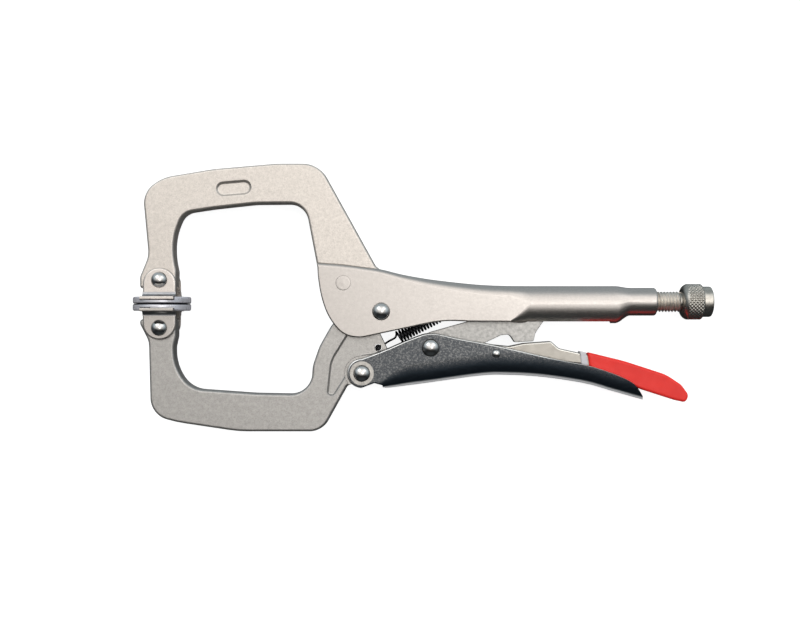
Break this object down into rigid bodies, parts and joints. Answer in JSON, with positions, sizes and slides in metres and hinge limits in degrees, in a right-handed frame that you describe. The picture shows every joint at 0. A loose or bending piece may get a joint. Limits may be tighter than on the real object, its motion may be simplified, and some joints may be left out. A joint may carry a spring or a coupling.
{
  "type": "locking C clamp",
  "caption": "Hand clamp with two C-shaped forged jaws, swivel pads, a toggle-locking lever handle, a release lever and a knurled adjusting screw.",
  "frame": {"origin": "centre of the bounding box in plan, on the bench that the clamp lies on", "axes": "+X along the handles towards the adjusting screw, +Y from the lower jaw towards the upper jaw, +Z out of the bench, parallel to every rivet"},
  "size_m": [0.277, 0.128, 0.0275],
  "materials": {
    "jaw_nickel": "drop-forged steel, matt nickel plate with a fine cast grain",
    "jaw_forged": "drop-forged steel, matt nickel plate, slightly greyer than the upper jaw",
    "handle_nickel": "pressed steel, smooth satin nickel plate",
    "lever_dark": "pressed steel, dark mottled nickel",
    "link_steel": "stamped steel, mottled grey nickel",
    "release_nickel": "pressed steel, warm satin nickel",
    "rivet_chrome": "polished domed heads",
    "collar_plastic": "pale grey collar",
    "grip_red": "red dipped vinyl, soft sheen",
    "screw_steel": "turned steel, nickel plate, knurled head",
    "spring_black": "black oiled spring wire",
    "pad_steel": "bright plated steel"
  },
  "bodies": {
    "frame": {"upper_jaw": "jaw_nickel", "fixed_handle": "handle_nickel", "jaw_plug": "handle_nickel", "main_pivot_rivet": "rivet_chrome", "tension_spring": "spring_black"},
    "lower_jaw": {"lower_jaw": "jaw_forged", "lever_pivot_rivet": "rivet_chrome"},
    "lever": {"lever_handle": "lever_dark", "link_pivot_rivet": "rivet_chrome", "release_lever_pin": "rivet_chrome"},
    "link": {"toggle_link": "link_steel"},
    "release": {"release_lever": "release_nickel", "grip_collar": "collar_plastic", "grip_sleeve": "grip_red"},
    "screw_slide": {"screw_tip": "screw_steel"},
    "screw": {"adjusting_screw": "screw_steel"},
    "upper_pad": {"upper_pad_disc": "pad_steel", "upper_pad_bracket": "pad_steel", "upper_pad_rivet": "rivet_chrome"},
    "lower_pad": {"lower_pad_disc": "pad_steel", "lower_pad_bracket": "pad_steel", "lower_pad_rivet": "rivet_chrome"}
  },
  "joints": [
    {"name": "jaw_pivot", "type": "hinge", "parent": "frame", "child": "lower_jaw", "pos_m": [-0.0195, -0.0066, 0.01375], "axis": [0, 0, 1], "range_deg": [0, 26], "deforming": ["tension_spring"]},
    {"name": "lever_pivot", "type": "hinge", "parent": "lower_jaw", "child": "lever", "pos_m": [-0.0287, -0.036, 0.01375], "axis": [0, 0, 1], "range_deg": [-69.14, 0]},
    {"name": "link_pivot", "type": "hinge", "parent": "lever", "child": "link", "pos_m": [0.004, -0.0238, 0.01375], "axis": [0, 0, 1], "range_deg": [0, 70.96]},
    {"name": "release_pivot", "type": "hinge", "parent": "lever", "child": "release", "pos_m": [0.0351, -0.0267, 0.01375], "axis": [0, 0, 1], "range_deg": [0, 8.52]},
    {"name": "screw_travel", "type": "slide", "parent": "frame", "child": "screw_slide", "axis": [1, 0, 0], "range_m": [0, 0.024]},
    {"name": "screw_turn", "type": "hinge", "parent": "screw_slide", "child": "screw", "pos_m": [0.1305, -0.002, 0.01375], "axis": [1, 0, 0], "range_deg": [0, 5764]},
    {"name": "upper_pad_swivel", "type": "hinge", "parent": "frame", "child": "upper_pad", "pos_m": [-0.1247, 0.0084, 0.01375], "axis": [0, 0, 1], "range_deg": [0, 13.2]},
    {"name": "lower_pad_swivel", "type": "hinge", "parent": "lower_jaw", "child": "lower_pad", "pos_m": [-0.12475, -0.0144, 0.01375], "axis": [0, 0, 1], "range_deg": [-13.2, 0]}
  ],
  "couplings": [
    {"joint": "lever_pivot", "follows": "jaw_pivot", "ratio": -2.64},
    {"joint": "link_pivot", "follows": "jaw_pivot", "ratio": 2.71},
    {"joint": "release_pivot", "follows": "jaw_pivot", "ratio": 0.32},
    {"joint": "upper_pad_swivel", "follows": "jaw_pivot", "ratio": 0.5},
    {"joint": "lower_pad_swivel", "follows": "jaw_pivot", "ratio": -0.5},
    {"joint": "screw_turn", "follows": "screw_travel", "rad_per_m": 4188.8}
  ]
}
